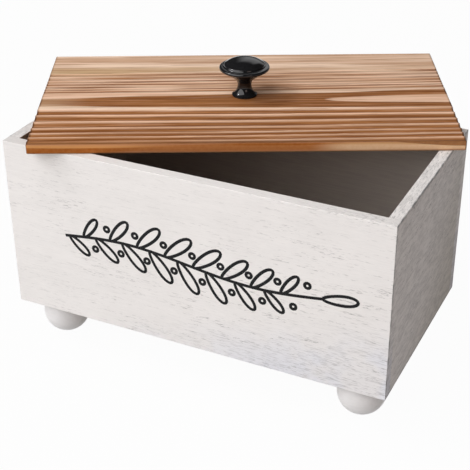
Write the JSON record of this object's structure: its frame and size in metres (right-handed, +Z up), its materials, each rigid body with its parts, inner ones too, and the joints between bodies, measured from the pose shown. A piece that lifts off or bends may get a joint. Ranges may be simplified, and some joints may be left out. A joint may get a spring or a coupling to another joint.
{
  "type": "wooden laundry pod box",
  "caption": "Rectangular wooden box for laundry pods on turned ball feet, with a loose brushed-wood lid lifted off by its knob.",
  "frame": {"origin": "the middle of the box's inside floor, on the floor board's top face", "axes": "+X along the box's length, to the right seen from the front; +Y to the back; +Z up"},
  "size_m": [0.2946, 0.241, 0.1737],
  "materials": {
    "whitewashed_wood": "whitewash with the grain showing",
    "stained_floor": "dark grey-brown stain, matte",
    "white_paint": "satin white paint",
    "brushed_pine": "wire-brushed and toasted, oiled",
    "black_enamel": "satin black",
    "steel": "zinc-plated",
    "black_print": "thin matte black paint"
  },
  "bodies": {
    "root": {"front_panel": "whitewashed_wood", "back_panel": "whitewashed_wood", "left_end_panel": "whitewashed_wood", "right_end_panel": "whitewashed_wood", "floor_board": "stained_floor", "front_left_foot": "white_paint", "front_right_foot": "white_paint", "back_left_foot": "white_paint", "back_right_foot": "white_paint", "foot_screws": "steel", "corner_brads": "steel", "floor_brads": "steel", "lid_board": "brushed_pine", "knob": "black_enamel", "knob_screw": "steel"}
  },
  "joints": []
}
